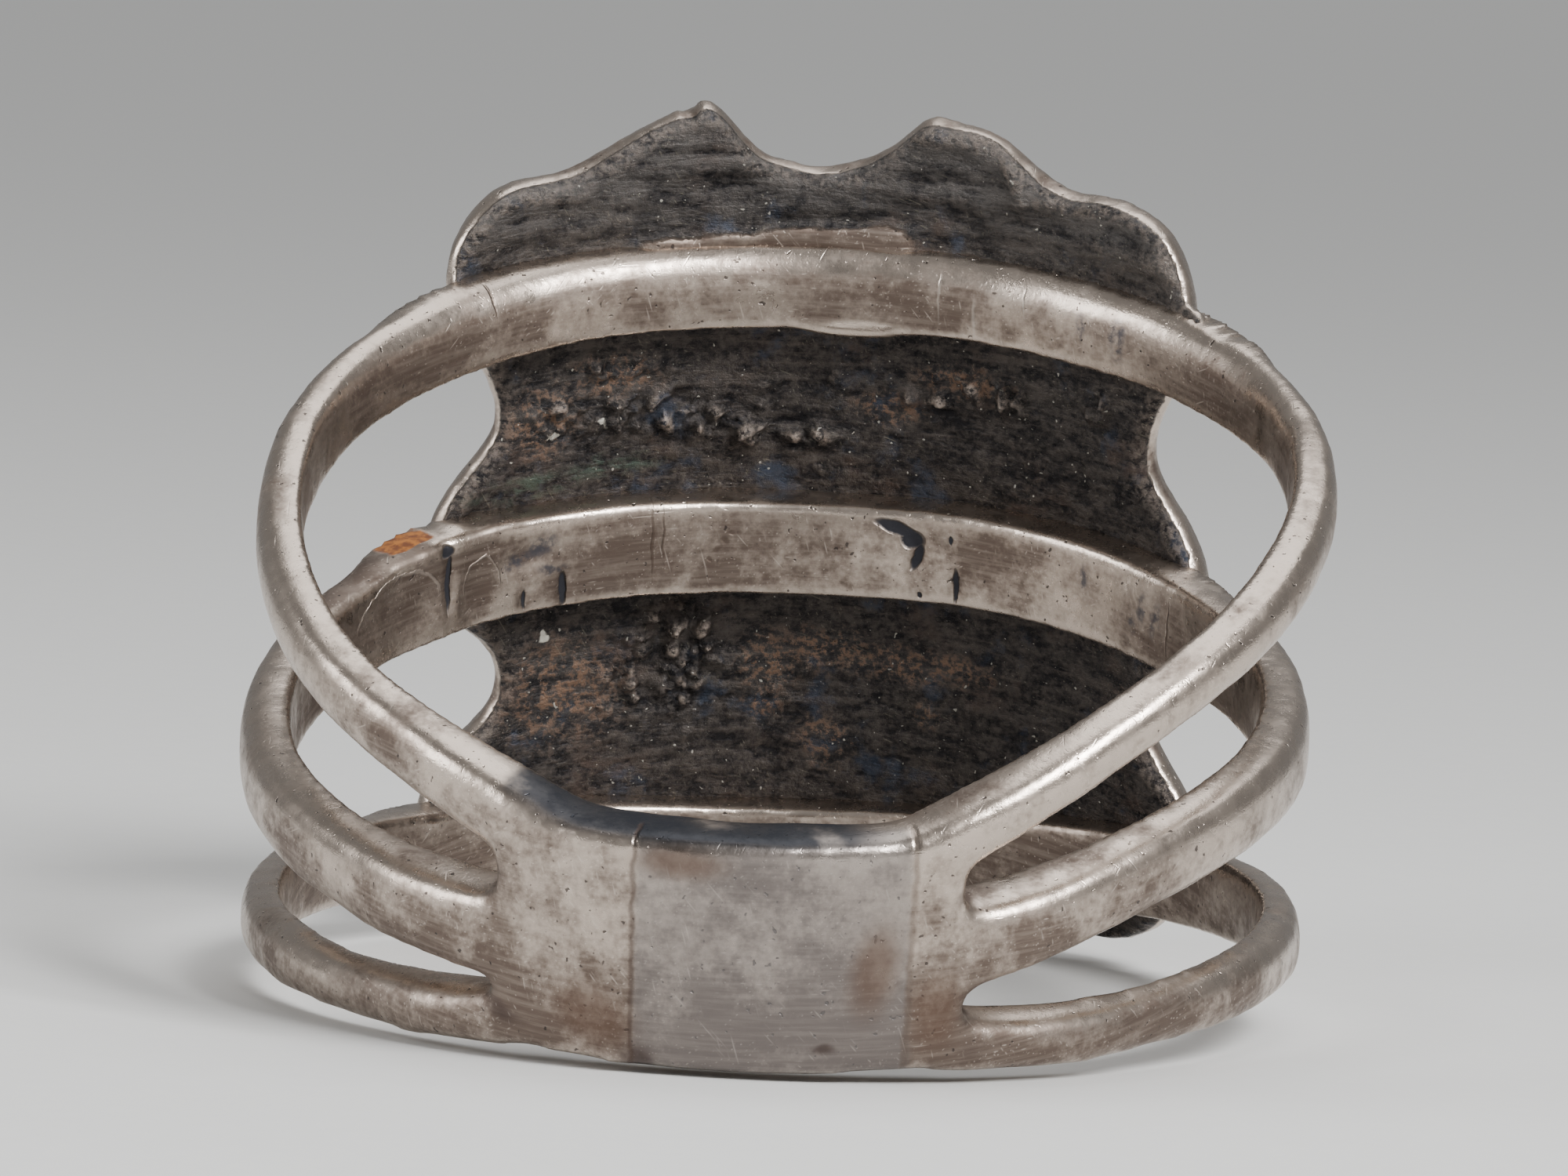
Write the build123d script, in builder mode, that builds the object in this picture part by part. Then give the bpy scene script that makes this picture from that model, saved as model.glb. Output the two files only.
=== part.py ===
from build123d import *
import math
import os

# Cast silver ring with a split shank, lying on its side.
# The hoop rests on the low edge of its palm and on the two lower horns of its face
# plate. X runs across the finger, +Y points at the face, +Z is up, and the origin is on
# the floor under the middle of the whole ring.

# Hoop
bore_radius = 9.5           # finger hole
setback = 1.5               # middle of the finger hole behind the middle of the ring
band_wall = 1.0             # radial thickness of the middle band
side_ease = 0.2             # what the upper and lower bands stand clear of the finger
upper_sway = 0.2            # the upper band is sprung to the right and a little wider
upper_spread = 0.12
upper_spacing = 5.7         # middle band to upper band, at the face
lower_spacing = 6.9         # middle band to lower band, at the face
upper_width = 1.8           # height of each band at the face
middle_width = 2.15
lower_width = 1.9
band_round = 0.25           # worn corners of the bands
edge_round = 0.3            # worn corners of the plate

# Palm side, where the three bands are one strap
palm_height = 4.8
palm_rise = 0.24            # middle of the strap above the middle of the face
palm_wall = 1.6
palm_half_angle = 24.0
palm_circle = 9.5           # rounding of the strap's outside

# Face plate, bent to the hoop and soldered to the outside of the bands
plate_wall = 0.9
plate_half_width = 8.2
plate_half_height = 9.15
plate_overlap = 0.12        # how far the solder sinks the bands into the plate

# Bezel cup on the front of the plate, and the cabochon in it
stone_width = 9.0
stone_length = 11.5
stone_girdle = 1.1          # upright part of the stone, below its dome
stone_dome = 2.0
stone_gap = 0.08
bezel_wall = 0.4
bezel_floor = 0.35          # silver under the stone, above the front of the plate
bezel_rise = 1.4            # bezel wall above its floor

# Each band in turn round the hoop from the palm: angle, height of the band's middle as
# a share of its spacing, and width as a share of its width at the face.
upper_course = [
    (12, 0.28, 0.70), (30, 0.51, 0.68), (60, 0.80, 0.72), (90, 0.95, 0.85),
    (135, 1.01, 1.00), (180, 1.00, 1.00), (225, 0.98, 1.00), (270, 0.82, 0.90),
    (300, 0.64, 0.85), (330, 0.46, 0.85), (348, 0.28, 0.70),
]
middle_course = [
    (12, 0.04, 0.80), (30, 0.04, 0.78), (60, 0.12, 0.80), (90, 0.08, 0.90),
    (135, 0.03, 1.00), (180, 0.00, 1.00), (225, 0.01, 1.00), (270, -0.04, 0.90),
    (300, -0.05, 0.84), (330, -0.03, 0.84), (348, 0.04, 0.80),
]
lower_course = [
    (12, -0.165, 0.62), (30, -0.297, 0.62), (60, -0.41, 0.72), (90, -0.56, 0.85),
    (135, -0.84, 1.00), (180, -1.00, 1.00), (225, -0.88, 1.00), (270, -0.61, 0.85),
    (300, -0.45, 0.72), (330, -0.298, 0.62), (348, -0.165, 0.62),
]

# Outline of the plate from its top to its foot: reach to the right and to the left as
# shares of plate_half_width, and height as a share of plate_half_height.
plate_outline = [
    (0.17, 0.20, 0.940), (0.28, 0.31, 1.000), (0.40, 0.40, 0.975), (0.50, 0.53, 0.905),
    (0.62, 0.66, 0.868), (0.75, 0.76, 0.878), (0.87, 0.86, 0.830), (0.95, 0.92, 0.690),
    (0.92, 0.88, 0.540), (0.865, 0.815, 0.400), (0.87, 0.815, 0.290), (0.93, 0.87, 0.220),
    (1.00, 0.95, 0.110), (1.00, 0.96, -0.060), (0.92, 0.87, -0.170), (0.87, 0.80, -0.280),
    (0.91, 0.82, -0.380), (0.99, 0.93, -0.480), (1.00, 0.98, -0.620), (0.95, 0.93, -0.760),
    (0.85, 0.84, -0.850), (0.73, 0.73, -0.878), (0.61, 0.62, -0.868), (0.50, 0.51, -0.905),
    (0.40, 0.40, -0.975), (0.29, 0.29, -1.000), (0.18, 0.18, -0.940),
]
plate_dip = 0.865           # height of the dip between two horns, as a share
horn_share = 0.29           # reach of the lower horns, as a share

# Rest pose: the floor touches the palm's outer low edge and the worn inner edge of the
# two lower horns.
band_radius = bore_radius + band_wall
plate_inner_radius = band_radius - plate_overlap
plate_outer_radius = plate_inner_radius + plate_wall
palm_radius = bore_radius + palm_wall
palm_foot = palm_rise - palm_height / 2
horn_depth = math.sqrt(plate_inner_radius ** 2 - (horn_share * plate_half_width) ** 2)
horn_out = horn_depth + edge_round + palm_radius
horn_down = plate_half_height - edge_round + palm_foot
tilt = math.atan2(horn_down, horn_out) + math.asin(edge_round / math.hypot(horn_out, horn_down))
lift = palm_radius * math.sin(tilt) - palm_foot * math.cos(tilt)
hoop = Plane(
    origin=(0, -setback, lift), x_dir=(1, 0, 0), z_dir=(0, -math.sin(tilt), math.cos(tilt)),
)


def radial_plane(angle):
    """Plane across a band at an angle round from the palm: its x runs outwards."""
    turn = math.radians(angle)
    outward = hoop.x_dir * math.sin(turn) - hoop.y_dir * math.cos(turn)
    onward = hoop.x_dir * math.cos(turn) + hoop.y_dir * math.sin(turn)
    return Plane(origin=hoop.origin, x_dir=outward, z_dir=-onward)


def hoop_section(sway, ease, spread):
    """Section of a hoop that sways to one side, with its hole eased and its outside spread.

    The outside is the hull of a round hoop and of a circle set out towards the palm, so
    that the wall grows smoothly from the bands to the palm strap.
    """
    with BuildSketch(hoop.offset(-plate_half_height)) as section:
        with Locations((sway, 0)):
            Circle(band_radius + spread)
        with Locations((sway, palm_circle - palm_radius)):
            Circle(palm_circle)
        make_hull()
        with Locations((sway, 0)):
            Circle(bore_radius + ease, mode=Mode.SUBTRACT)
    return section.sketch


def band(course, spacing, width, section):
    """One band: a blade lofted through its stations, wider than the wall, cut to the hoop."""
    with BuildPart() as strip:
        for angle, height, breadth in course:
            with BuildSketch(radial_plane(angle)):
                with Locations((bore_radius + band_wall / 2, height * spacing)):
                    Rectangle(4 * band_wall, breadth * width)
        loft()
        extrude(section, amount=2 * plate_half_height, mode=Mode.INTERSECT)
        rims = strip.edges().filter_by(lambda edge: edge.length > 3 * band_wall)
        fillet(rims, radius=band_round)
    return strip.part


def wedge_corners(half_angle):
    """Corners of a wedge on the palm side that reaches well past the hoop."""
    far = 2 * palm_radius
    turn = math.radians(half_angle)
    side = far * math.sin(turn)
    near = far * math.cos(turn)
    return [(0, 0), (-side, -near), (0, -far), (side, -near)]


# The palm strap and the middle band lie close on the finger, the other two are eased
close_section = hoop_section(0, 0, 0)
lower_section = hoop_section(0, side_ease, 0)
upper_section = hoop_section(upper_sway, side_ease, upper_spread)

# Palm strap, where the three bands run together
with BuildPart() as palm_strap:
    with BuildSketch(hoop.offset(palm_foot)):
        with BuildLine():
            Polyline(*wedge_corners(palm_half_angle), close=True)
        make_face()
    extrude(amount=palm_height)
    extrude(close_section, amount=2 * plate_half_height, mode=Mode.INTERSECT)

# Face plate: the scalloped outline cut through a bent sheet
reach = plate_half_width
rise = plate_half_height
right_side = [(right * reach, up * rise) for right, left, up in plate_outline]
left_side = [(-left * reach, up * rise) for right, left, up in reversed(plate_outline)]
front = Plane(origin=hoop.origin, x_dir=hoop.x_dir, z_dir=-hoop.y_dir)
with BuildPart() as face_plate:
    with BuildSketch(front):
        with BuildLine():
            Spline(
                (0, plate_dip * rise), *right_side, (0, -plate_dip * rise), *left_side,
                periodic=True,
            )
        make_face()
    extrude(amount=-2 * plate_outer_radius)
    with BuildSketch(hoop):
        Circle(plate_outer_radius)
        Circle(plate_inner_radius, mode=Mode.SUBTRACT)
    extrude(amount=2 * plate_half_height, both=True, mode=Mode.INTERSECT)
    walls = face_plate.faces().filter_by(GeomType.CYLINDER)
    fillet(walls.edges(), radius=edge_round)

# Bezel cup, from inside the plate's wall outwards
seat_depth = plate_outer_radius + bezel_floor
seat = Plane(origin=hoop.from_local_coords((0, seat_depth, 0)), x_dir=-hoop.x_dir, z_dir=hoop.y_dir)
cup_radius = stone_width / 2 + stone_gap + bezel_wall
cup_length = stone_length / 2 + stone_gap + bezel_wall
cup_root = math.sqrt(plate_outer_radius ** 2 - cup_radius ** 2) - plate_wall / 2
with BuildPart() as bezel_cup:
    with BuildSketch(seat.offset(bezel_rise)):
        Ellipse(cup_radius, cup_length)
    extrude(amount=cup_root - seat_depth - bezel_rise)
    with BuildSketch(seat):
        Ellipse(cup_radius - bezel_wall, cup_length - bezel_wall)
    extrude(amount=bezel_rise, mode=Mode.SUBTRACT)
    with BuildSketch(hoop):
        Circle(plate_outer_radius - plate_wall / 2)
    extrude(amount=plate_half_height, both=True, mode=Mode.SUBTRACT)

# All the soldered silver is one piece
with BuildPart() as silver_ring:
    add(palm_strap.part)
    add(band(middle_course, upper_spacing, middle_width, close_section))
    add(band(lower_course, lower_spacing, lower_width, lower_section))
    add(band(upper_course, upper_spacing, upper_width, upper_section))
    add(face_plate.part)
    add(bezel_cup.part)
silver_ring.part.label = "silver_ring"

# Cabochon: a round dome turned about its own axis, then drawn out to an oval
with BuildPart() as round_stone:
    with BuildSketch(Plane.XZ):
        with BuildLine():
            girdle = (stone_width / 2, stone_girdle)
            Polyline((0, stone_girdle + stone_dome), (0, 0), (stone_width / 2, 0), girdle)
            ThreePointArc(
                girdle, (0.29 * stone_width, stone_girdle + 0.72 * stone_dome),
                (0, stone_girdle + stone_dome),
            )
        make_face()
    revolve(axis=Axis.Z)
    scale(by=(1, stone_length / stone_width, 1), mode=Mode.REPLACE)
with BuildPart(seat.offset(stone_gap)) as turquoise_cabochon:
    add(round_stone.part)
turquoise_cabochon.part.label = "turquoise_cabochon"

os.makedirs("parts", exist_ok=True)
export_step(silver_ring.part, "parts/silver_ring.step")
export_step(turquoise_cabochon.part, "parts/turquoise_cabochon.step")
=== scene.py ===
import math

import bpy
import numpy as np
from mathutils import Matrix, Vector, noise


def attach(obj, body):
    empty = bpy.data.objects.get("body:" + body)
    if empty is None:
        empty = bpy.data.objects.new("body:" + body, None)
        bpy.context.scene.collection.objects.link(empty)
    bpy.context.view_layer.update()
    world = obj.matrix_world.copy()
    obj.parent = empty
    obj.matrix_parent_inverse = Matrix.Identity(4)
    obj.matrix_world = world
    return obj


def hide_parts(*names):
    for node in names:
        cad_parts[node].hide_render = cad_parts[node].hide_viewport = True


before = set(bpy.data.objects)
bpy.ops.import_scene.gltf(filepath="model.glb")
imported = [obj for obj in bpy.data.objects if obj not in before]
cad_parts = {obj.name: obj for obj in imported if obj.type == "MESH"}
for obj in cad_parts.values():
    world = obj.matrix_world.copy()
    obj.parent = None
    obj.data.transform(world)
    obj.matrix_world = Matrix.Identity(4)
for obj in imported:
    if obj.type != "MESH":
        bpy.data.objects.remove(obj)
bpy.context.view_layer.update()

# The ring lies on its side on a pale floor. Everything about it is told in the frame of
# its hoop: x across the finger, y from the palm to the face plate, z along the finger.
mm = 0.001
lean = math.radians(18.0445)            # the finger hole's axis leans towards the palm
hoop_lift = 5.492 * mm
hoop_setback = 1.5 * mm
hoop_x = Vector((1, 0, 0))
hoop_y = Vector((0, math.cos(lean), math.sin(lean)))
hoop_z = Vector((0, -math.sin(lean), math.cos(lean)))
hoop_middle = Vector((0, -hoop_setback, hoop_lift))
hoop_turn = Matrix((hoop_x, hoop_y, hoop_z)).transposed()

# Camera, told in the hoop's frame: it looks down past the palm at the inside of the plate
view_rise = math.radians(22.79)         # above the hoop's own plane
view_swing = math.radians(4.3)
view_roll = math.radians(1.42)
view_aim = Vector((0.114, 0, 3.17)) * mm
view_distance = 165.3 * mm
view_lens = 193.68                      # for a picture 36 mm wide
to_camera = Vector((
    math.sin(view_swing) * math.cos(view_rise),
    -math.cos(view_swing) * math.cos(view_rise),
    math.sin(view_rise),
))
level_right = Vector((math.cos(view_swing), math.sin(view_swing), 0))
level_up = to_camera.cross(level_right)
rolled_right = level_right * math.cos(view_roll) + level_up * math.sin(view_roll)
rolled_up = level_up * math.cos(view_roll) - level_right * math.sin(view_roll)
bpy.ops.object.camera_add(location=hoop_middle + hoop_turn @ (view_aim + to_camera * view_distance))
camera = bpy.context.object
camera.rotation_mode = "QUATERNION"
view_turn = Matrix((rolled_right, rolled_up, to_camera)).transposed()
camera.rotation_quaternion = (hoop_turn @ view_turn).to_quaternion()
camera.data.lens = view_lens
camera.data.sensor_width = 36
camera.data.clip_start = 0.01
camera.data.clip_end = 30
bpy.context.scene.camera = camera

# Floor and studio: a wide matt pale floor, two soft boxes, a broad light from above and
# a dim pale room.


class Wire:
    """A socket of a material: sums on it add Math nodes, and node() adds any other."""

    def __init__(self, tree, socket=None):
        self.tree = tree
        self.socket = socket

    def node(self, kind, settings, sockets, output=0):
        made = self.tree.nodes.new("ShaderNode" + kind)
        for key, value in settings.items():
            setattr(made, key, value)
        for key, value in sockets.items():
            if isinstance(value, Wire):
                self.tree.links.new(value.socket, made.inputs[key])
            else:
                made.inputs[key].default_value = value
        return Wire(self.tree, made.outputs[output] if made.outputs else None)

    def sum(self, operation, first, second=0.0):
        return self.node("Math", {"operation": operation}, {0: first, 1: second})

    def __add__(self, other):
        return self.sum("ADD", self, other)

    def __radd__(self, other):
        return self.sum("ADD", other, self)

    def __sub__(self, other):
        return self.sum("SUBTRACT", self, other)

    def __rsub__(self, other):
        return self.sum("SUBTRACT", other, self)

    def __mul__(self, other):
        return self.sum("MULTIPLY", self, other)

    def __abs__(self):
        return self.sum("ABSOLUTE", self)

    def top(self, other):
        return self.sum("MAXIMUM", self, other)

    def rise(self, low, high):
        """0 where this is below low, 1 where it is above high, and smooth between."""
        return self.node(
            "MapRange", {"interpolation_type": "SMOOTHSTEP"}, {0: self, 1: low, 2: high},
        )

    def blend(self, first, second):
        """The first colour where this is 0 and the second where it is 1."""
        return self.node("Mix", {"data_type": "RGBA"}, {0: self, 6: first, 7: second}, output=2)


def new_material(name):
    """An empty material, its maker of nodes, and its surface's point in the hoop's mm."""
    made = bpy.data.materials.new(name)
    made.use_nodes = True
    made.node_tree.nodes.clear()
    start = Wire(made.node_tree)
    place = start.node("TexCoord", {}, {}, output=3)
    metres = start.node(
        "Mapping", {"vector_type": "TEXTURE"},
        {0: place, "Location": hoop_middle, "Rotation": (lean, 0, 0)},
    )
    return made, start, start.node("VectorMath", {"operation": "SCALE"}, {0: metres, "Scale": 1 / mm})


def surface(start, sockets, height, depth):
    """Closes a material with its shader: height is its relief and depth that of 1, in mm."""
    normal = start.node("Bump", {}, {"Strength": 1.0, "Distance": depth * mm, "Height": height})
    shader = start.node("BsdfPrincipled", {}, {**sockets, "Normal": normal})
    start.node("OutputMaterial", {}, {0: shader})


def seen(start, point, scale, detail=4.0, roughness=0.55, stretch=(1, 1, 1), shift=(0, 0, 0)):
    """Noise of that many lumps a millimetre, squeezed along the axes by stretch."""
    place = start.node("Mapping", {}, {0: point, "Location": shift, "Scale": stretch})
    return start.node(
        "TexNoise", {}, {"Vector": place, "Scale": scale, "Detail": detail, "Roughness": roughness},
    )


bpy.ops.mesh.primitive_plane_add(size=16, location=(0, 6, 0))
floor = bpy.context.object
floor.name = "floor"
board, start, point = new_material("pale_board")
grain = seen(start, point, 1.5)
surface(start, {
    "Base Color": grain.blend((0.60, 0.60, 0.59, 1), (0.63, 0.63, 0.62, 1)), "Roughness": 0.85,
}, grain, 0.005)
floor.data.materials.append(board)
lamps = [
    # name, place in mm, size in mm, watts
    ("key_softbox", (120, -130, 150), 90, 0.92),
    ("fill_softbox", (-170, -70, 80), 110, 0.22),
]
lamp_aim = Vector((0, 0, 8 * mm))
for name, place, size, watts in lamps:
    bpy.ops.object.light_add(type="AREA", location=[value * mm for value in place])
    lamp = bpy.context.object
    lamp.name = name
    lamp.data.size = size * mm
    lamp.data.energy = watts
    lamp.rotation_euler = (lamp_aim - lamp.location).to_track_quat("-Z", "Y").to_euler()
bpy.ops.object.light_add(type="SUN", rotation=(math.radians(-16), math.radians(6), 0))
ceiling = bpy.context.object
ceiling.name = "ceiling_light"
ceiling.data.angle = math.radians(50)
ceiling.data.energy = 1.25
room = bpy.data.worlds.new("pale_room")
room.use_nodes = True
room.node_tree.nodes["Background"].inputs[0].default_value = (0.88, 0.89, 0.9, 1)
room.node_tree.nodes["Background"].inputs[1].default_value = 0.28
bpy.context.scene.world = room


# Shank: cast sterling silver, a palm strap that splits into three bands on each side.
# A length was let into the palm and soldered at both ends, and wear has rounded it.
bore_radius = 9.5                       # these are in mm, as all sizes of the pieces are
eased_radius = 9.7                      # finger hole in the upper and lower bands
inner_half = 10.1                       # radius inside which a band faces the finger
band_outside = 10.5
palm_outside = 11.1
plate_inside = 10.38
upper_sway = 0.2                        # the upper band is sprung to the right
pressed_in = 0.24                       # and its left is pressed in by this much
shank_mesh = 0.116
cut_behind_face = 6.2                   # the shank is kept behind this, the plate before it
core_gap = 0.02                         # leaves the bands just short of the plate's skin
hollow_gain = 14                        # hollowness to a mm, as the materials read it


def copy_of(node, name):
    """A copy of a CAD node's mesh, merged, as a piece of its own."""
    bpy.ops.object.select_all(action="DESELECT")
    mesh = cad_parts[node].data.copy()
    mesh.materials.clear()
    piece = bpy.data.objects.new(name, mesh)
    mesh.name = name
    bpy.context.scene.collection.objects.link(piece)
    bpy.context.view_layer.objects.active = piece
    piece.select_set(True)
    bpy.ops.object.mode_set(mode="EDIT")
    bpy.ops.mesh.select_all(action="SELECT")
    bpy.ops.mesh.remove_doubles(threshold=0.001 * mm)
    bpy.ops.mesh.normals_make_consistent(inside=False)
    bpy.ops.object.mode_set(mode="OBJECT")
    return piece


def finish_with(piece, kind, **settings):
    """Adds a modifier to the piece and applies it."""
    bpy.context.view_layer.objects.active = piece
    made = piece.modifiers.new(kind.lower(), kind)
    for key, value in settings.items():
        setattr(made, key, value)
    bpy.ops.object.modifier_apply(modifier=made.name)


def vertex_table(piece):
    """Vertex places in the hoop's frame in millimetres, and normals in the same frame."""
    count = len(piece.data.vertices)
    place = np.empty(count * 3)
    normal = np.empty(count * 3)
    piece.data.vertices.foreach_get("co", place)
    piece.data.vertices.foreach_get("normal", normal)
    axes = np.array((hoop_x, hoop_y, hoop_z)).T
    place = (place.reshape(-1, 3) - np.array(hoop_middle)) @ axes / mm
    return place, normal.reshape(-1, 3) @ axes


def move_vertices(piece, place):
    """Puts the vertices at places told in the hoop's frame in millimetres."""
    axes = np.array((hoop_x, hoop_y, hoop_z))
    world = place * mm @ axes + np.array(hoop_middle)
    piece.data.vertices.foreach_set("co", world.ravel())
    piece.data.update()


def averager(piece):
    """A function that gives each vertex the mean of its neighbours' values."""
    count = len(piece.data.vertices)
    ends = np.empty(len(piece.data.edges) * 2, np.int32)
    piece.data.edges.foreach_get("vertices", ends)
    here = np.concatenate((ends[0::2], ends[1::2]))
    there = np.concatenate((ends[1::2], ends[0::2]))
    links = np.maximum(np.bincount(here, minlength=count), 1)

    def mean(values):
        columns = values.reshape(count, -1).T
        sums = [np.bincount(here, column[there], minlength=count) for column in columns]
        return (np.array(sums) / links).T.reshape(values.shape)

    return mean


def calmed(values, mean, times, share=0.5):
    """The values smoothed over the surface: share is how far each step goes."""
    for _ in range(times):
        values = values + (mean(values) - values) * share
    return values


def hollows(place, normal, mean, reach):
    """How hollow the surface is round each vertex: about 1 in a groove, below 0 on edges."""
    calm = calmed(place, mean, reach, 1.0)
    return calmed(np.sum((calm - place) * normal, axis=1), mean, 6) * hollow_gain


def round_the_hoop(place):
    """Angles in degrees to the right from the face and from the palm, and the radius."""
    x, y = place[:, 0], place[:, 1]
    return np.degrees(np.arctan2(x, y)), np.degrees(np.arctan2(x, -y)), np.hypot(x, y)


def facing(place, normal):
    """1 where the surface faces away from the hoop's axis, -1 where it faces the axis."""
    return np.sum(normal[:, :2] * place[:, :2], axis=1) / np.hypot(place[:, 0], place[:, 1])


def step(values, low, high):
    """0 where the values are below low, 1 where above high, and smooth between."""
    share = np.clip((values - low) / (high - low), 0, 1)
    return share * share * (3 - 2 * share)


def lumps(place, size, shift=0.0):
    """Smooth noise of about -1 to 1 with lumps of that size in millimetres."""
    return np.array([noise.noise(Vector(row)) for row in place / size + shift])


def beads(place, size, shift=0.0):
    """Round beads, one to a cell of that size: 1 on top of a bead and 0 between them."""
    bead_radius = 0.42                  # as a share of its cell
    near = [noise.voronoi(Vector(row))[0][0] for row in place / size + shift]
    return np.sqrt(np.clip(1 - (np.array(near) / bead_radius) ** 2, 0, None))


def spot(angle, height, radius, row):
    """1 in the middle of an oval, told as in oval(), falling smoothly to 0 outside it."""
    at_angle, at_height, length, breadth, turn = row
    along = np.radians(angle - at_angle) * radius
    across = height - at_height
    slant = math.radians(turn)
    lengthwise = along * math.cos(slant) + across * math.sin(slant)
    crosswise = across * math.cos(slant) - along * math.sin(slant)
    return np.exp(-((lengthwise / length) ** 2 + (crosswise / breadth) ** 2) ** 2)


def spots(angle, height, radius, rows):
    """The strongest of several spots at each vertex."""
    return np.max([spot(angle, height, radius, row) for row in rows], axis=0)


def crest(angle, height, chosen):
    """How far each vertex is above the highest of the chosen ones at its own angle, which
    are found for each degree and evened out over seven."""
    highest = np.full(361, -99.0)
    np.maximum.at(highest, np.round(angle[chosen]).astype(int) + 180, height[chosen])
    highest = np.convolve(np.pad(highest, 3, mode="wrap"), np.full(7, 1 / 7), mode="valid")
    return height - np.interp(angle, np.arange(361) - 180, highest)


def write_values(piece, name, values):
    """Keeps a value for each vertex, which the piece's material reads by name."""
    layer = piece.data.attributes.new(name, "FLOAT", "POINT")
    layer.data.foreach_set("value", np.asarray(values, np.float32))


# The CAD ring is one solid, so its copy is cut here into the shank and the plate
shank = copy_of("silver_ring", "shank")
bpy.ops.mesh.primitive_cylinder_add(vertices=128, radius=16 * mm, depth=30 * mm)
plate_side = bpy.context.object
bpy.ops.object.mode_set(mode="EDIT")
bpy.ops.mesh.bisect(
    plane_co=(0, cut_behind_face * mm, 0), plane_no=(0, 1, 0), use_fill=True, clear_inner=True,
)
bpy.ops.object.mode_set(mode="OBJECT")
bpy.ops.mesh.primitive_cylinder_add(
    vertices=256, radius=(plate_inside - core_gap) * mm, depth=34 * mm,
)
core = bpy.context.object
for tool in (plate_side, core):
    tool.data.transform(Matrix.Translation(hoop_middle) @ hoop_turn.to_4x4())
finish_with(plate_side, "BOOLEAN", operation="DIFFERENCE", object=core, solver="EXACT")
finish_with(shank, "BOOLEAN", operation="DIFFERENCE", object=plate_side, solver="EXACT")
finish_with(shank, "REMESH", mode="VOXEL", voxel_size=shank_mesh * mm)

mean = averager(shank)
place, normal = vertex_table(shank)

# A finger has worn a bevel along the inner top edge: broad on the upper band at the face
# and slim on the middle band
from_face, from_palm, radius = round_the_hoop(place)
from_wall = np.hypot(place[:, 0] - upper_sway, place[:, 1]) - eased_radius
from_top = crest(from_face, place[:, 2], radius < inner_half)
broad = 0.14 + 0.36 * (1 - step(np.abs(from_face), 55, 100)) + 0.07 * lumps(place, 1.6)
bevel = np.clip(from_top - from_wall + broad, 0, None) * (from_top > -1.2)
on_middle = (np.abs(place[:, 2]) < 1.7) & (np.abs(from_face) < 120)
from_top = crest(from_face, place[:, 2], on_middle & (radius < inner_half))
slim = 0.16 + 0.05 * lumps(place, 1.2, 4.0) - 0.5 * step(np.abs(from_face), 80, 105)
on_middle &= np.abs(from_face) < 110
bevel += np.clip(from_top - (radius - bore_radius) + slim, 0, None) * on_middle
place[:, 2] -= 0.5 * bevel
place[:, :2] *= (1 + 0.5 * bevel / radius)[:, None]

# Wear has also rounded the outside, most of all by the palm, and the bands are sunk into
# the plate that they are soldered to
normal = calmed(normal, mean, 5)
outward = facing(place, normal)
near = step(-place[:, 1], -4.0, 3.0) * step(outward, -0.2, 0.5) * step(np.abs(from_palm), 20, 34)
place += (calmed(place, mean, 57) - place) * (0.75 * near)[:, None]
place[:, :2] *= (1 + 0.05 * near / radius)[:, None]
flat = step(np.maximum(-outward, np.abs(normal[:, 2])), 0.84, 0.95)
behind = step(place[:, 1], 5.4, 6.8)               # soldered to the plate
worn = 0.06 + 0.44 * np.maximum(flat, step(outward, -0.2, 0.6) * (1 - behind))
place = calmed(place, mean, 36, worn[:, None])
radius = np.hypot(place[:, 0], place[:, 1])
on_upper = step(place[:, 2], 3.0, 4.0)
reach = band_outside + 0.06 + on_upper * (0.14 + upper_sway * place[:, 0] / radius)
sunk = step(outward, 0.2, 0.7) * step(place[:, 1], 4.8, 6.1) * np.maximum(reach / radius - 1, 0)
place[:, :2] *= (1 + sunk)[:, None]
move_vertices(shank, place)
place, normal = vertex_table(shank)
outward = facing(place, calmed(normal, mean, 3))
from_face, from_palm, radius = round_the_hoop(place)
height = place[:, 2]
inner = step(-outward, 0.3, 0.8)
outer = step(outward, 0.3, 0.8)
upward = step(normal[:, 2], 0.5, 0.9)

# The left of the upper band is pressed in
left_of_upper = step(-from_face, 18, 55) * (1 - step(-from_face, 95, 135)) * step(height, 1.6, 2.8)
place[:, 0] += pressed_in * left_of_upper
push = 0.03 * outer * (1 - behind) + 0.03 * lumps(place, 2.6) + 0.016 * lumps(place, 0.9, 7.0)

# Cracks and facets inside the middle band, each an oval: its angle from the face, height,
# half its length, half its height and its turn. The material draws the cracks as well.
cracks = [
    (-49.3, 0.25, 0.075, 0.62, -3), (-49.6, 0.95, 0.16, 0.14, 0), (-37.6, -0.58, 0.05, 0.22, 0),
    (-32.2, -0.50, 0.085, 0.40, 4), (10.6, 0.70, 0.50, 0.13, -14), (12.6, 0.50, 0.26, 0.20, 0),
    (13.2, 0.12, 0.09, 0.32, -18), (18.3, -0.40, 0.055, 0.36, 0), (17.6, 0.61, 0.04, 0.10, 0),
    (13.6, -0.72, 0.06, 0.06, 0),
]
facets = [
    (-57.0, 0.15, 1.25, 0.85, 8), (-44.7, -0.25, 0.50, 0.80, 0), (-66.0, -0.2, 0.9, 0.7, 0),
    (-37.5, 0.40, 0.65, 0.30, 10),
]
push -= 0.07 * inner * spots(from_face, height, bore_radius, facets)
grooves = [(angle, up, 0.12, breadth, turn) for angle, up, _, breadth, turn in cracks]
push -= 0.10 * inner * spots(from_face, height, bore_radius, grooves)
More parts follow.
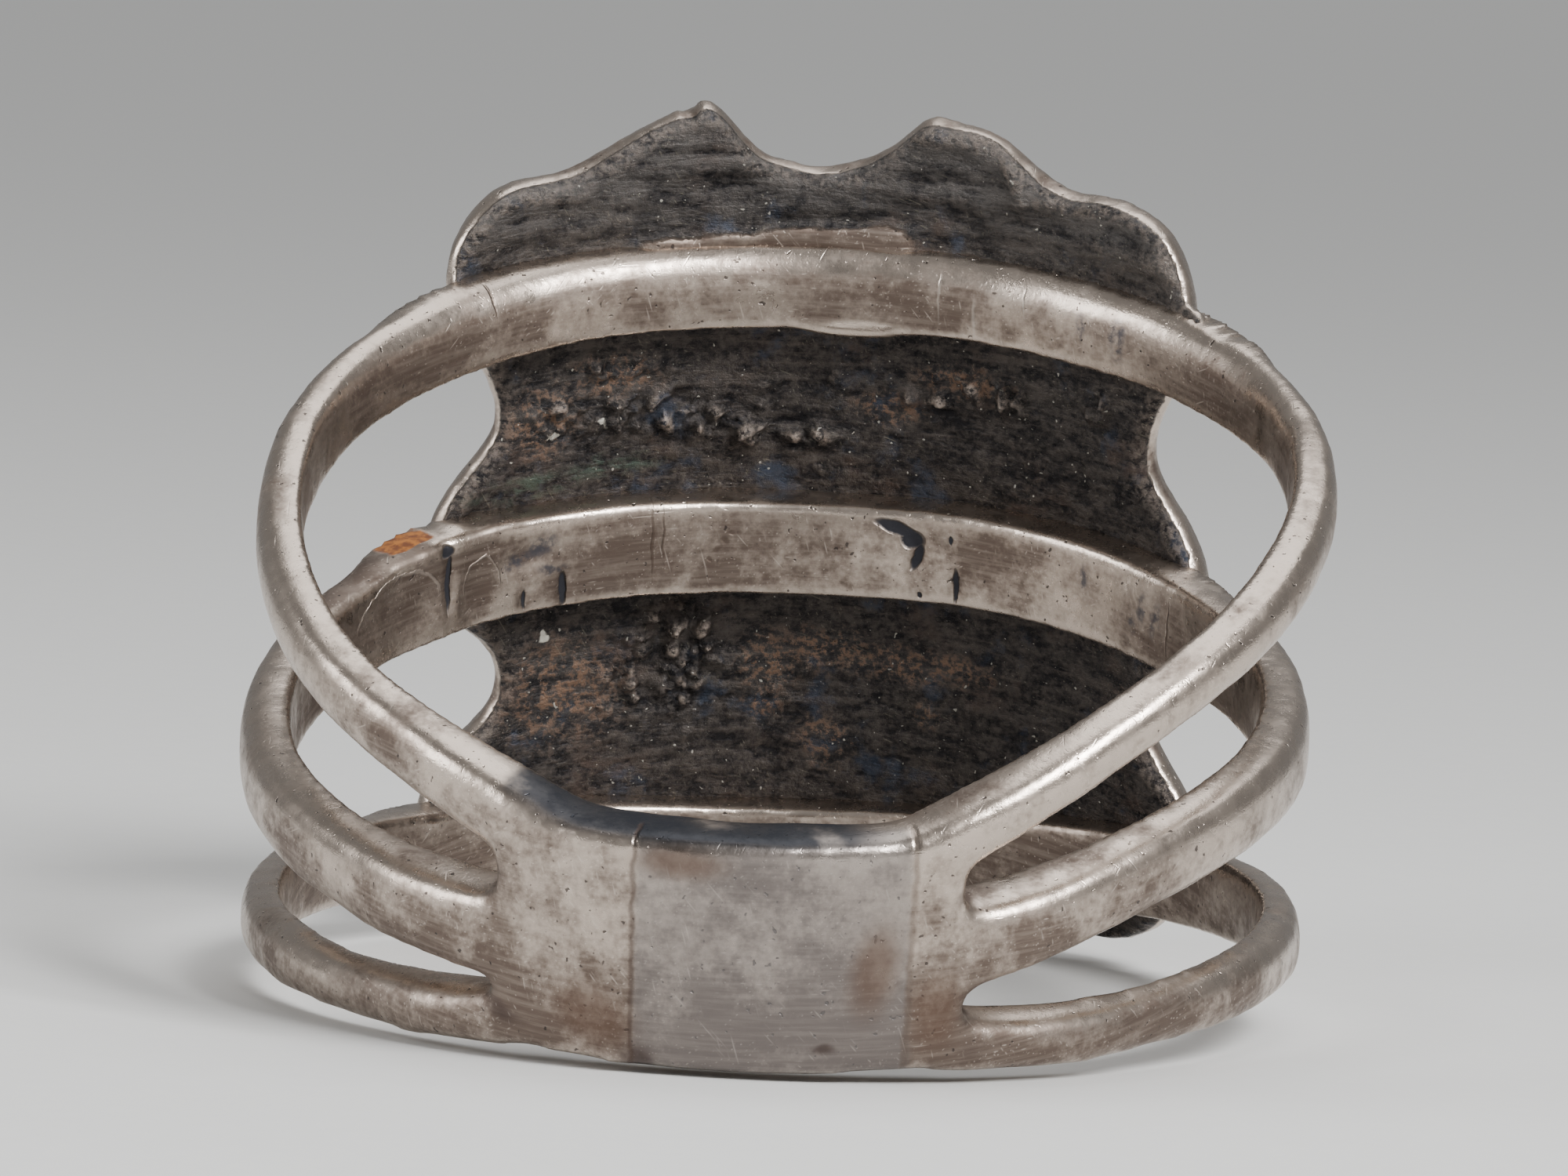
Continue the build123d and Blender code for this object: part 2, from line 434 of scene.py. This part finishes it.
crumpled = spot(from_face, height, bore_radius, (-51.0, 1.3, 2.4, 0.75, -6))
push += crumpled * (0.13 + 0.08 * lumps(place, 0.55, 4.0)) * step(normal[:, 2], 0.1, 0.6)
low_edge_bump = spot(from_face, height, eased_radius, (4.0, 4.85, 1.0, 0.40, 0))
push += 0.16 * low_edge_bump * step(-normal[:, 2], 0.0, 0.6)
let_in = step(from_palm, -9.6, -8.2) * (1 - step(from_palm, 17.2, 18.8)) * (np.abs(from_palm) < 90)
push -= 0.04 * let_in * outer
place += normal * calmed(push, mean, 2)[:, None]
move_vertices(shank, place)

# What the material reads at each vertex: hollows, a painted dark reflection on the palm's top faces,
# grime with painted shade, and rust
place, normal = vertex_table(shank)
write_values(shank, "hollow", hollows(place, normal, mean, 10))
at_palm = (np.abs(from_palm) < 24) & (height > 0)
# Painted dark reflection: the upward faces of the palm strap's top are painted a dark blue-grey
write_values(shank, "palm_top_dark_reflection", calmed(upward * at_palm * (1 - step(from_palm, 11, 19)), mean, 2))
under = step(-height, 2.0, 6.0)
slots = step(-outward, -0.3, 0.4) * step(np.abs(from_face), 100, 135)
# Painted shade: the outside of the palm darkens towards its foot, where the light falls off
low_palm_shade = outer * step(-place[:, 1], 2.0, 6.0) * step(-height, -1.5, 2.4)
by_facets = inner * spots(from_face, height, bore_radius, facets[:3])
# Grime darkens the inside, the slots, the crumpled top and the facets. Everything is darker towards
# the bottom, the outside is darker towards the palm, and the painted shade of the low palm is added in
grime_and_shade = 0.45 * inner + 0.35 * under + 0.6 * slots + 0.9 * low_palm_shade + 0.8 * crumpled + 0.4 * by_facets
grime_and_shade += 0.25 * outer * step(-place[:, 1], 6.0, 9.5)
grime_and_shade -= 0.5 * step(bevel, 0.02, 0.1)
top_grime = spot(from_face, height, bore_radius, (-67.0, 1.25, 2.9, 0.60, 4))
grime_and_shade += 1.5 * top_grime * step(normal[:, 2], 0.1, 0.6)
write_values(shank, "grime_and_shade", calmed(grime_and_shade, mean, 2))
rust = spot(from_face, height, 10.3, (-53.5, 1.35, 0.75, 0.42, 0)) * step(radius, 9.75, 9.95)
write_values(shank, "rust", rust)


def written(start, name):
    """A value kept for each vertex, which the shape's code wrote."""
    return start.node("Attribute", {"attribute_name": name}, {}, output=2)


def split(start, place):
    """The three numbers of a place, each as a socket."""
    return [start.node("SeparateXYZ", {}, {0: place}, output=axis) for axis in range(3)]


def unrolled(start, point, radius, forward, ragged):
    """The hoop unrolled from its face (forward 1) or its palm (-1): arc and height in mm.

    Ragged is how far in mm a mark's outline wanders.
    """
    x, y, z = split(start, point)
    arc = start.sum("ARCTAN2", x, y * forward) * radius
    wander = start.node("TexNoise", {}, {"Vector": point, "Scale": 2.5, "Detail": 5.0}, output=1)
    flat = start.node("CombineXYZ", {}, {0: arc, 1: z})
    return start.node(
        "VectorMath", {"operation": "MULTIPLY_ADD"},
        {0: wander, 1: (2 * ragged, 2 * ragged, 0), 2: start.node(
            "VectorMath", {"operation": "SUBTRACT"}, {0: flat, 1: (ragged, ragged, 0)})},
    )


def oval(start, sheet, radius, row):
    """Distance from an oval's middle, 1 on its edge. Its row holds the angle round the
    hoop in degrees, the height, half the length and half the height in mm, and its turn."""
    angle, height, length, breadth, turn = row
    local = start.node(
        "Mapping", {"vector_type": "TEXTURE"}, {
            0: sheet, "Location": (math.radians(angle) * radius, height, 0),
            "Rotation": (0, 0, math.radians(turn)), "Scale": (length, breadth, 1),
        },
    )
    return start.node("VectorMath", {"operation": "LENGTH"}, {0: local}, output=1)


def marks(start, sheet, radius, rows, edge):
    """1 inside any of the ovals and 0 outside, with an edge that is a share of their size."""
    drawn = start.node("Value", {}, {})
    for row in rows:
        drawn = drawn.top(1 - oval(start, sheet, radius, row).rise(1 - edge, 1 + edge))
    return drawn


def scratches(start, point, turns, length, width):
    """Fine straight scratches of that size in mm: each turn is a field of thin needles,
    one to a cell, and the surface shows those that it passes through."""
    cell = 2.5                          # times the size of its needle
    drawn = start.node("Value", {}, {})
    for number, turn in enumerate(turns):
        place = start.node("Mapping", {"vector_type": "TEXTURE"}, {
            0: point, "Location": (number, 2 * number, 0),
            "Rotation": [math.radians(angle) for angle in turn],
            "Scale": (cell * length, cell * width, cell * width),
        })
        needle = 1 - start.node("TexVoronoi", {}, {"Vector": place, "Scale": 1.0}).rise(0.06, 0.20)
        gate = seen(start, point, 0.9, detail=2.0, shift=(number * 3, 7, number)).rise(0.46, 0.60)
        drawn = drawn.top(needle * gate)
    return drawn


def bare_silver(start, point, tarnish):
    """Worn silver under more or less tarnish: its colour, roughness and relief."""
    mottle = seen(start, point, 1.7, detail=7.0, roughness=0.68, shift=(3, 1, 4))
    flecks = seen(start, point, 6.5, detail=3.0, roughness=0.6, shift=(2, 8, 5))
    streaks = seen(start, point, 1.1, detail=5.0, roughness=0.62, stretch=(0.5, 0.5, 8))
    pores = seen(start, point, 7.5, detail=1.0, shift=(5, 5, 5)).rise(0.70, 0.77)
    hairs = scratches(start, point, [
        (0, 0, 20), (10, 50, 0), (40, -35, 60), (-20, 75, 15), (15, -10, 95), (0, 30, 130),
    ], 0.9, 0.045)
    dull = (tarnish + (mottle - 0.5) * 1.4 + (flecks - 0.5) * 0.7).rise(0.0, 1.0)
    colour = dull.blend((0.56, 0.475, 0.405, 1), (0.150, 0.114, 0.094, 1))
    colour = (streaks.rise(0.40, 0.70) * 0.25).blend(colour, (0.56, 0.48, 0.41, 1))
    colour = (hairs * 0.36).blend(colour, (0.76, 0.67, 0.59, 1))
    colour = (pores * 0.8).blend(colour, (0.05, 0.042, 0.04, 1))
    rough = 0.27 + dull * 0.24 + (mottle - 0.5) * 0.3
    relief = streaks * 0.20 + flecks * 0.22 - hairs * 0.12 + mottle * 0.5 - pores * 0.4
    return colour, rough, relief


silver, start, point = new_material("worn_silver")
inside_sheet = unrolled(start, point, bore_radius, 1, 0.07)
stained_sheet = unrolled(start, point, bore_radius, 1, 0.16)
palm_sheet = unrolled(start, point, palm_outside, -1, 0.09)
across, forward, up = split(start, point)
distance = start.sum("POWER", across * across + forward * forward, 0.5)
on_inside = 1 - distance.rise(9.85, 10.0)
on_palm = (1 - forward.rise(-10.2, -9.6)) * distance.rise(10.3, 10.5)
hollowness = written(start, "hollow")
clouds = seen(start, point, 0.42, detail=5.0, roughness=0.6)
# Tarnish reads the grime with its painted shade, which the shape's code wrote
tarnish = clouds.rise(0.35, 0.68) * 0.75 + written(start, "grime_and_shade") * 0.7
tarnish = tarnish + hollowness.rise(0.04, 0.5) * 0.9 - (0 - hollowness).rise(0.15, 0.9) * 0.75
colour, rough, relief = bare_silver(start, point, tarnish)

# Cracks and pits are black, the stains round them a thin blue-grey, and fine lines are dark
# or light
pits = marks(start, inside_sheet, bore_radius, cracks, 0.22) * on_inside
stains = marks(start, stained_sheet, bore_radius, [
    (37.0, 0.50, 0.13, 0.30, 0), (47.0, 0.40, 0.10, 0.34, 0), (45.4, -0.02, 0.08, 0.22, 0),
    (49.5, 0.25, 0.12, 0.35, -8), (-38.6, 0.30, 0.42, 0.16, 14), (-35.2, 0.55, 0.30, 0.20, 30),
    (38.9, 5.85, 0.17, 0.50, 0), (33.4, 5.82, 0.10, 0.26, 0), (-33.8, 0.0, 0.30, 0.10, 0),
], 0.55) * on_inside
lines = marks(start, inside_sheet, bore_radius, [
    (-20.4, 0.25, 0.025, 0.72, 0), (-19.0, 0.35, 0.022, 0.55, 0), (-42.4, 6.2, 0.03, 0.35, 0),
    (-12.3, 0.05, 0.10, 0.06, 30), (-11.2, 0.25, 0.08, 0.09, 0), (-10.4, 0.42, 0.06, 0.05, 0),
    (-13.0, -0.15, 0.05, 0.07, 0), (52.0, 0.2, 0.025, 0.5, 0),
], 0.5) * on_inside
light_lines = marks(start, inside_sheet, bore_radius, [
    (14.4, 5.9, 0.022, 0.5, 0), (18.9, 5.45, 0.03, 0.4, 0), (25.2, 6.05, 0.02, 0.32, 8),
], 0.6) * on_inside

# The upper rims of two facets are raised, and painted bright along their upper side as a highlight
rims_and_highlight = start.node("Value", {}, {})
for row in [(-59.0, -0.25, 1.45, 1.05, 10), (-44.3, -0.45, 0.50, 1.05, -4)]:
    ring = abs(oval(start, stained_sheet, bore_radius, row) - 1)
    above = up.rise(row[1] + 0.2, row[1] + 0.7)
    rims_and_highlight = rims_and_highlight.top((1 - ring.rise(0.012, 0.05)) * above)
rims_and_highlight = rims_and_highlight * on_inside
broken = seen(start, point, 5.0, detail=3.0, shift=(4, 9, 1))
colour = (stains * broken.rise(0.36, 0.60) * 0.8).blend(colour, (0.07, 0.073, 0.09, 1))
colour = (lines * 0.6).blend(colour, (0.10, 0.07, 0.055, 1))
colour = (light_lines * 0.3).blend(colour, (0.70, 0.64, 0.57, 1))
colour = (rims_and_highlight * 0.3).blend(colour, (0.66, 0.58, 0.51, 1))
colour = pits.blend(colour, (0.018, 0.018, 0.024, 1))

# Soldered seams of the length let into the palm, which is a cooler grey than the rest
palm_arc, palm_height, _ = split(start, palm_sheet)
left_seam = 1 - abs(palm_arc + 1.74).rise(0.01, 0.08)
right_seam = 1 - abs(palm_arc - palm_height * 0.035 - 3.5).rise(0.015, 0.10)
between = palm_arc.rise(-1.8, -1.6) * (1 - palm_arc.rise(3.4, 3.6)) * on_palm
palm_brown = marks(start, palm_sheet, palm_outside, [
    (14.6, 0.05, 0.42, 0.85, -12), (-13.0, -1.1, 0.75, 0.55, -20), (-30.2, -0.46, 0.5, 0.4, 0),
    (-4.5, 2.2, 0.8, 0.3, 0), (21.0, -0.9, 0.5, 0.7, 0),
], 0.6) * on_palm
palm_dark = marks(start, palm_sheet, palm_outside, [
    (26.7, -1.88, 0.50, 0.24, 0), (9.9, -1.52, 0.20, 0.11, 0), (-8.6, -1.9, 0.35, 0.3, 0),
    (24.0, 1.35, 0.22, 0.14, 25), (-25.6, 1.42, 0.55, 0.20, -12), (-24.0, -1.42, 0.60, 0.18, -14),
    (27.5, 1.95, 0.60, 0.18, 10), (28.5, -1.15, 0.60, 0.18, 4),
], 0.6) * on_palm
painted_dark_reflection = written(start, "palm_top_dark_reflection")
colour = (between * 0.5).blend(colour, (0.215, 0.204, 0.202, 1))
colour = (palm_brown * 0.7).blend(colour, (0.13, 0.082, 0.060, 1))
colour = (palm_dark * 0.75).blend(colour, (0.07, 0.05, 0.045, 1))
# The palm's top faces get their painted dark blue-grey reflection
colour = (painted_dark_reflection * (clouds.rise(0.20, 0.45) * 0.95)).blend(colour, (0.020, 0.024, 0.032, 1))
colour = (left_seam * on_palm * 0.6).blend(colour, (0.08, 0.055, 0.045, 1))
colour = (right_seam * on_palm * 0.45).blend(colour, (0.12, 0.085, 0.065, 1))
rusty = (written(start, "rust") + (seen(start, point, 3.0) - 0.5) * 0.5).rise(0.30, 0.55)
rust_colour = broken.rise(0.35, 0.65).blend((0.11, 0.034, 0.010, 1), (0.29, 0.105, 0.020, 1))
colour = rusty.blend(colour, rust_colour)
rough = rough + pits * 0.25 + rusty * 0.35 + stains * 0.08 + painted_dark_reflection * 0.1
metal = 1 - pits * 0.6 - rusty * 0.9
relief = relief - pits * 3.2 - lines * 0.6 + light_lines * 0.3 + rims_and_highlight * 0.9
relief = relief - left_seam * on_palm * 0.7 - right_seam * on_palm * 0.6
surface(start, {"Base Color": colour, "Roughness": rough, "Metallic": metal}, relief, 0.022)
shank.data.materials.append(silver)
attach(shank, "root")

# Face plate: a thick cast sheet of silver with a scalloped edge, bent to the hoop and
# soldered to the outside of the bands, with the bezel cup of the stone on its front.
# Its inside was never cleaned: cast lumps, black oxide and a bright worn rim.
plate_outside = 11.28
cup_from = 11.6                         # radius past which the silver is the bezel cup
plate_mesh = 0.106
plate = copy_of("silver_ring", "face_plate")
finish_with(plate, "BOOLEAN", operation="INTERSECT", object=plate_side, solver="EXACT")
finish_with(plate, "REMESH", mode="VOXEL", voxel_size=plate_mesh * mm)
for tool in (plate_side, core):
    bpy.data.objects.remove(tool)

mean = averager(plate)
place, normal = vertex_table(plate)
outward = facing(place, calmed(normal, mean, 6))
from_face, _, radius = round_the_hoop(place)
for side, wall in ((-1, plate_inside), (1, plate_outside)):
    flat = step(outward * side, 0.80, 0.93) * (1 - step(np.abs(radius - wall), 0.09, 0.16))
    place[:, :2] *= (1 + flat * (wall / radius - 1))[:, None]
place = calmed(place, mean, 4)

# The horns were filed by hand: how far the rim stands up here and there, as an angle from
# the face, a height and half a width in degrees
filed = [
    (-50.0, -0.20, 5.0), (-23.0, 0.31, 8.0), (-12.8, 0.20, 2.6), (-7.5, -0.12, 2.2),
    (2.5, 0.13, 3.5), (10.5, 0.16, 2.5), (21.0, 0.36, 5.0), (30.0, 0.20, 7.0), (42.0, 0.28, 7.0),
]
for angle, lifted, breadth in filed:
    place[:, 2] += lifted * np.exp(-((from_face - angle) / breadth) ** 2) * step(place[:, 2], 5.8, 7.6)

# What this cut kept of the upper band beside the plate is sunk into the shank's own band
beside = (place[:, 2] > 4.0) * (radius < 10.85) * step(np.abs(from_face - 0.8), 46.8, 49.2)
place[:, 2] -= 0.25 * (place[:, 2] - 5.65) * beside
place[:, :2] *= (1 - 0.07 * beside / radius)[:, None]
place[:, 0] += pressed_in * beside * (from_face < 0)
move_vertices(plate, place)
place, normal = vertex_table(plate)
outward = facing(place, calmed(normal, mean, 4))
from_face, _, radius = round_the_hoop(place)
height = place[:, 2]
inner = step(-outward, 0.45, 0.85) * (radius < 10.7)
outer = step(outward, 0.45, 0.85)
on_sheet = radius < cup_from
rim = calmed(1 - np.maximum(inner, outer), mean, 2) * on_sheet
cast_skin = 0.035 * lumps(place, 1.5, 5.0) + 0.030 * lumps(place, 0.55)
cast_skin += 0.018 * lumps(place, 0.26, 9.0)
push = inner * cast_skin + outer * 0.015 * lumps(place, 1.3, 6.0)
push += rim * (0.03 * lumps(place, 0.8, 8.0) + 0.02 * lumps(place, 0.3, 1.0))

# Cast lumps on the inside stand in fields, told as the dents are
bead_fields = [
    (-30.5, 2.95, 0.75, 0.45, 0), (-16.5, 2.75, 1.7, 0.50, -8), (-8.0, 2.25, 0.55, 0.32, 0),
    (-1.8, 2.25, 0.75, 0.30, 0), (13.0, 3.45, 0.7, 0.45, 0), (19.5, 3.70, 1.1, 0.50, 0),
    (-17.0, -2.3, 0.75, 0.9, 0), (-15.0, -3.3, 0.6, 1.1, 0), (-21.5, -3.0, 0.7, 0.8, 0),
    (-12.8, -2.4, 0.35, 0.7, 0), (34.3, 3.9, 0.3, 0.4, 0), (-24.0, 3.9, 0.9, 0.25, 0),
]
wide_fields = [
    (-18.0, 2.9, 3.6, 1.0, 0), (8.0, 3.2, 4.4, 0.9, 0), (-17.0, -3.0, 2.2, 2.0, 0),
    (4.0, -3.0, 4.2, 1.1, 0),
]
bead = beads(place, 0.50, 2.0)
small_bead = beads(place, 0.30, 4.0)
cluster = spots(from_face, height, plate_inside, bead_fields)
strewn = spots(from_face, height, plate_inside, wide_fields)
grown = cluster * (bead * 0.25 + small_bead * 0.17)
grown += strewn * small_bead * step(lumps(place, 0.8, 1.0), 0.0, 0.3) * 0.12
one_bead = spot(from_face, height, plate_inside, (-8.6, 2.25, 0.26, 0.22, 0))
push += inner * (grown + 0.16 * one_bead)

# Ripples of the wax near the top and the foot, a ridge by the right horn, and the solder
# that ran along the top of the upper band
ripples = lumps(place * np.array((0.3, 0.3, 1.7)), 0.75, 11.0)
push += inner * ripples * (0.03 + 0.06 * step(np.abs(height), 5.6, 7.0))
horn_ridges = [(22.0, 8.35, 0.20, 0.75, 22), (32.5, 8.25, 1.6, 0.16, 10)]
ridge = spots(from_face, height, plate_inside, horn_ridges)
push += 0.13 * inner * calmed(ridge, mean, 2)
solder_top = 6.88 + 0.0135 * from_face + 0.11 * lumps(place, 0.7, 3.0)
solder = (1 - step(height, solder_top - 0.04, solder_top + 0.10)) * step(height, 5.5, 5.9)
solder *= step(from_face, -24.0, -19.0) * (1 - step(from_face, 8.5, 12.0))
push += 0.22 * inner * solder
notches = [(-15.2, 9.27, 0.16, 0.20, 0), (25.5, 8.5, 0.2, 0.2, 0)]
push -= 0.10 * spots(from_face, height, plate_inside, notches) * rim
push -= 0.09 * inner * spot(from_face, height, plate_inside, (-15.6, 3.19, 0.22, 0.14, 0))
place += normal * push[:, None]
move_vertices(plate, place)

# What the material reads at each vertex: hollows, the bare rim, side and outside, solder and the tops
# of the cast lumps, worn bare and painted with highlights
place, normal = vertex_table(plate)
write_values(plate, "hollow", hollows(place, normal, mean, 7))
edge = 1 - np.maximum(step(-outward, 0.25, 0.65) * (radius < 10.9), step(outward, 0.45, 0.85))
write_values(plate, "rim", np.clip(calmed(edge, mean, 1) * on_sheet, 0, 1))
write_values(plate, "side", (1 - step(np.abs(outward), 0.25, 0.55)) * on_sheet)
write_values(plate, "outside", np.maximum(outer, radius > cup_from))
write_values(plate, "solder", calmed(inner * solder, mean, 1))
bead_tops_and_highlight = cluster * np.maximum(bead, small_bead * 0.7) + strewn * small_bead * 0.35
write_values(plate, "bead", calmed(inner * bead_tops_and_highlight, mean, 1))

blackened, start, point = new_material("oxidised_silver")
hollowness = written(start, "hollow")
soldered = written(start, "solder")
bead_wear_and_highlight = written(start, "bead")
rimmed = written(start, "rim")
outside = written(start, "outside")
sheet = unrolled(start, point, plate_inside, 1, 0.30)
clouds = seen(start, point, 0.5, detail=5.0, roughness=0.62)
mottle = seen(start, point, 2.2, detail=8.0, roughness=0.72, stretch=(0.7, 0.7, 1.5), shift=(3, 1, 4))
grit = seen(start, point, 7.0, detail=4.0, roughness=0.7, shift=(4, 4, 1))
waves = seen(start, point, 1.3, detail=6.0, roughness=0.6, stretch=(0.3, 0.3, 3.2), shift=(1, 6, 2))
tint = seen(start, point, 0.8, detail=5.0, roughness=0.65, shift=(9, 2, 7))
dust = seen(start, point, 11.0, detail=0.0, shift=(6, 3, 5)).rise(0.81, 0.85) * 0.7
lint = scratches(start, point, [(30, 20, 0), (-10, 60, 40), (5, -30, 80)], 0.8, 0.035)
brown = marks(start, sheet, plate_inside, [
    (-5.2, -2.9, 0.55, 0.6, 0), (1.4, -2.55, 0.9, 0.4, 0), (10.0, -2.75, 1.2, 0.35, 0),
    (17.4, -2.7, 0.7, 0.25, 0), (1.5, -4.6, 0.5, 0.45, -30), (13.3, -3.8, 0.25, 0.25, 0),
    (-5.8, -3.8, 0.4, 0.3, 0), (17.0, 3.8, 0.9, 0.3, 0), (-24.0, 3.7, 0.8, 0.4, 0),
    (-33.0, 2.9, 0.7, 0.7, 0), (-30.0, -3.2, 1.2, 1.0, 0), (8.0, 3.0, 0.6, 0.3, 0),
], 0.7)
green = marks(start, sheet, plate_inside, [(-36.0, 1.5, 1.2, 0.22, 0), (-24.0, 1.7, 1.0, 0.2, 0)], 0.7)
light_specks = marks(start, sheet, plate_inside, [
    (-32.1, -1.92, 0.14, 0.12, 40), (-25.3, 2.77, 0.12, 0.10, 0), (-31.5, 2.59, 0.07, 0.07, 0),
], 0.3)
raised = (0 - hollowness).rise(0.06, 0.6)

# The dark inside: black oxide with a painted lighter slate grey towards the top, where light falls,
# then what lies on it, and last the tops of the lumps, worn bare and painted with highlights
dark = (mottle * 0.6 + grit * 0.4).rise(0.40, 0.62)
dark = dark.blend((0.007, 0.0065, 0.008, 1), (0.070, 0.060, 0.054, 1))
dark = (waves.rise(0.52, 0.68) * 0.4).blend(dark, (0.100, 0.084, 0.073, 1))
# Painted light: towards its top the inside is a lighter slate grey in patches, as if lit from above
lit_top_of_plate = split(start, point)[2].rise(5.6, 8.0)
painted_top_light = lit_top_of_plate * (waves * 0.5 + mottle * 0.5).rise(0.38, 0.58)
dark = (painted_top_light * 0.6).blend(dark, (0.092, 0.086, 0.082, 1))
dark = (tint.rise(0.56, 0.70) * 0.6).blend(dark, (0.035, 0.048, 0.075, 1))
brownish = clouds.rise(0.50, 0.68) * mottle.rise(0.42, 0.6)
dark = (brownish * 0.55).blend(dark, (0.070, 0.045, 0.035, 1))
brown_crumbs = brown * (mottle * 0.35 + grit * 0.65).rise(0.49, 0.57)
dark = (brown_crumbs * 0.85).blend(dark, (0.165, 0.095, 0.058, 1))
dark = (green * mottle.rise(0.45, 0.60) * 0.6).blend(dark, (0.045, 0.080, 0.060, 1))
dark = (raised * grit.rise(0.40, 0.62) * 0.5).blend(dark, (0.20, 0.165, 0.140, 1))
# The tops of the cast lumps are worn bare and painted lighter as highlights
dark = (bead_wear_and_highlight.rise(0.45, 1.0) * grit.rise(0.38, 0.58) * 0.9).blend(dark, (0.34, 0.28, 0.235, 1))
dark = (lint * 0.3).blend(dark, (0.26, 0.24, 0.18, 1))
dark = dust.top(light_specks).blend(dark, (0.50, 0.48, 0.42, 1))

# The bare silver of the rim, the outside and the solder
tarnish = clouds.rise(0.35, 0.68) * 0.5 + hollowness.rise(0.03, 0.4) * 1.1 - raised * 0.6
tarnish = tarnish + soldered * 1.0 + written(start, "side") * 0.5
colour, rough, relief = bare_silver(start, point, tarnish)
bare = (rimmed * 1.2 + outside + (mottle - 0.5) * 0.9).rise(0.60, 0.95)
bare = bare.top((soldered + (mottle - 0.5) * 1.2).rise(0.35, 0.75))
colour = bare.blend(dark, colour)
rough = bare * rough + (1 - bare) * (0.31 + (mottle - 0.5) * 0.5 + dust * 0.3)
metal = 0.75 + bare * 0.25 - brown * (1 - bare) * 0.3
relief = relief * bare + (mottle * 2.6 + grit * 1.4 + waves * 1.6 + dust * 0.5) * (1 - bare)
surface(start, {"Base Color": colour, "Roughness": rough, "Metallic": metal}, relief, 0.03)
plate.data.materials.append(blackened)
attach(plate, "root")
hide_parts("silver_ring")

# Stone: an oval turquoise cabochon with a brown matrix, polished and held by the bezel.
# It lies on the far side of the plate.
stone_mesh = 0.12
polished_off = 0.02                     # keeps the waves of its skin inside the CAD stone
stone = copy_of("turquoise_cabochon", "cabochon")
finish_with(stone, "REMESH", mode="VOXEL", voxel_size=stone_mesh * mm)
mean = averager(stone)
place, _ = vertex_table(stone)
move_vertices(stone, calmed(place, mean, 12))
place, normal = vertex_table(stone)
place += normal * (0.012 * lumps(place, 1.5, 3.0) - polished_off)[:, None]
move_vertices(stone, place)
turquoise, start, point = new_material("polished_turquoise")
clouds = seen(start, point, 0.35, detail=5.0, roughness=0.6)
fine = seen(start, point, 3.0, detail=6.0, roughness=0.7, shift=(2, 6, 1))
warp = start.node("TexNoise", {}, {"Vector": point, "Scale": 0.6, "Detail": 4.0}, output=1)
bent = start.node("VectorMath", {"operation": "MULTIPLY_ADD"}, {0: warp, 1: (2.2, 2.2, 2.2), 2: point})
web = start.node("TexVoronoi", {"feature": "DISTANCE_TO_EDGE"}, {"Vector": bent, "Scale": 0.42})
gate = seen(start, point, 0.4, detail=2.0, shift=(5, 1, 8)).rise(0.38, 0.58)
vein = (1 - web.rise(0.0, 0.09)) * gate
colour = clouds.rise(0.35, 0.68).blend((0.10, 0.46, 0.47, 1), (0.22, 0.62, 0.55, 1))
colour = (fine.rise(0.5, 0.75) * 0.4).blend(colour, (0.07, 0.36, 0.40, 1))
colour = vein.rise(0.2, 0.8).blend(colour, (0.10, 0.06, 0.035, 1))
surface(start, {
    "Base Color": colour, "Roughness": vein * 0.3 + 0.22, "Coat Weight": 0.4,
}, fine * 0.2 - vein, 0.012)
stone.data.materials.append(turquoise)
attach(stone, "root")
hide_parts("turquoise_cabochon")

# Every piece is shaded smooth
for piece in (shank, plate, stone):
    bpy.ops.object.select_all(action="DESELECT")
    piece.select_set(True)
    bpy.context.view_layer.objects.active = piece
    bpy.ops.object.shade_smooth()
